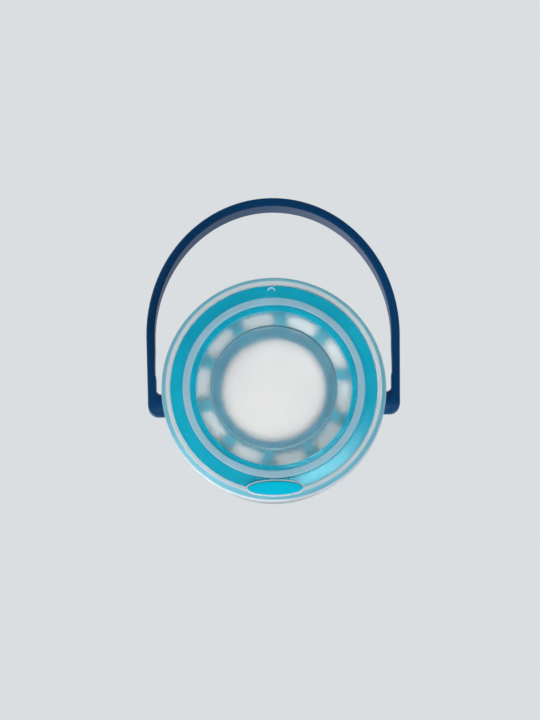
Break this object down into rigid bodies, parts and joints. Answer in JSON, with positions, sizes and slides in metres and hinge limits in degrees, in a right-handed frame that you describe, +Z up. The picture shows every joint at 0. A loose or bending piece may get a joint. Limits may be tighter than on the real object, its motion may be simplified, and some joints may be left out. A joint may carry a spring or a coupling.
{
  "type": "folding water bottle",
  "caption": "Collapsible round water bottle: frosted base and shoulder nest over a soft folding sleeve, with a screw cap and a swinging bail handle.",
  "frame": {"origin": "centre of the flat underside, on the plane the bottle stands on", "axes": "+Z up through the neck and cap; +Y towards the handle arch as stored; -Y towards the oval grip mark in the base rim; +X along the handle axis"},
  "size_m": [0.1112, 0.1392, 0.0786],
  "materials": {
    "frosted_clear": "frosted translucent moulded plastic",
    "turquoise_soft": "matte soft elastomer",
    "teal_hard": "satin moulded plastic",
    "milky_soft": "milky soft elastomer",
    "milky_hard": "milky moulded plastic",
    "seal_white": "silicone seal",
    "navy_hard": "satin moulded plastic",
    "turquoise_hard": "satin moulded plastic"
  },
  "bodies": {
    "base": {"base_cup": "frosted_clear", "thumb_inlay": "turquoise_soft", "anchor_ring": "turquoise_soft", "lower_clamp_ring": "teal_hard", "floor_frame": "teal_hard", "bladder_floor": "milky_soft", "sleeve": "turquoise_soft"},
    "shoulder": {"sleeve_top_flange": "turquoise_soft", "upper_clamp_ring": "teal_hard", "shoulder_shell": "frosted_clear"},
    "handle": {"handle": "navy_hard"},
    "cap_seal": {"cap_gasket": "seal_white", "cap_liner": "milky_hard"},
    "cap": {"cap_shell": "navy_hard", "cap_disc": "turquoise_hard"}
  },
  "joints": [
    {"name": "extend", "type": "slide", "parent": "base", "child": "shoulder", "axis": [0, 0, 1], "range_m": [0, 0.14], "deforming": ["sleeve"]},
    {"name": "handle_swing", "type": "hinge", "parent": "shoulder", "child": "handle", "pos_m": [0, 0, 0.0456], "axis": [1, 0, 0], "range_deg": [-25, 205]},
    {"name": "cap_lift", "type": "slide", "parent": "shoulder", "child": "cap_seal", "axis": [0, 0, 1], "range_m": [0, 0.0151]},
    {"name": "cap_turn", "type": "hinge", "parent": "cap_seal", "child": "cap", "pos_m": [0, 0, 0.066], "axis": [0, 0, 1], "range_deg": [0, 900]}
  ],
  "couplings": [
    {"joint": "cap_lift", "follows": "cap_turn", "m_per_rad": 0.00095493}
  ]
}
